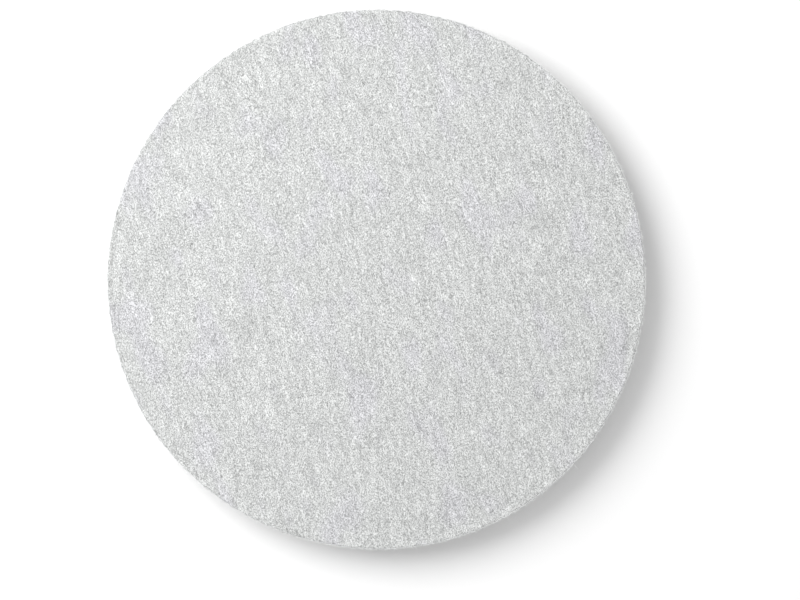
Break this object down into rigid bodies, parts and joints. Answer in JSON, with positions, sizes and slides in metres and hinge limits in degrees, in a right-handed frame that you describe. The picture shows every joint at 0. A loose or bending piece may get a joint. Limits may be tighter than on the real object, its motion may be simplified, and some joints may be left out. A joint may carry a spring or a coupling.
{
  "type": "felt polishing wheel",
  "caption": "Thick round felt polishing disc with a bare fibrous face, bonded to a loop fabric back that grips a hook-faced backing pad.",
  "frame": {"origin": "centre of the wheel's back, in the plane of the loop fabric's pile", "axes": "+Z out of the felt's polishing face, along the axis the wheel spins on; X and Y lie in the plane of the back"},
  "size_m": [0.15, 0.15, 0.01],
  "materials": {
    "wool_felt": "pressed grey-white wool felt, matt and fibrous",
    "hot_melt_adhesive": "translucent hot-melt film, satin",
    "loop_fabric": "knitted nylon loop fabric, matt pile"
  },
  "bodies": {
    "root": {"felt_disc": "wool_felt", "adhesive_film": "hot_melt_adhesive", "loop_backing": "loop_fabric"}
  },
  "joints": []
}
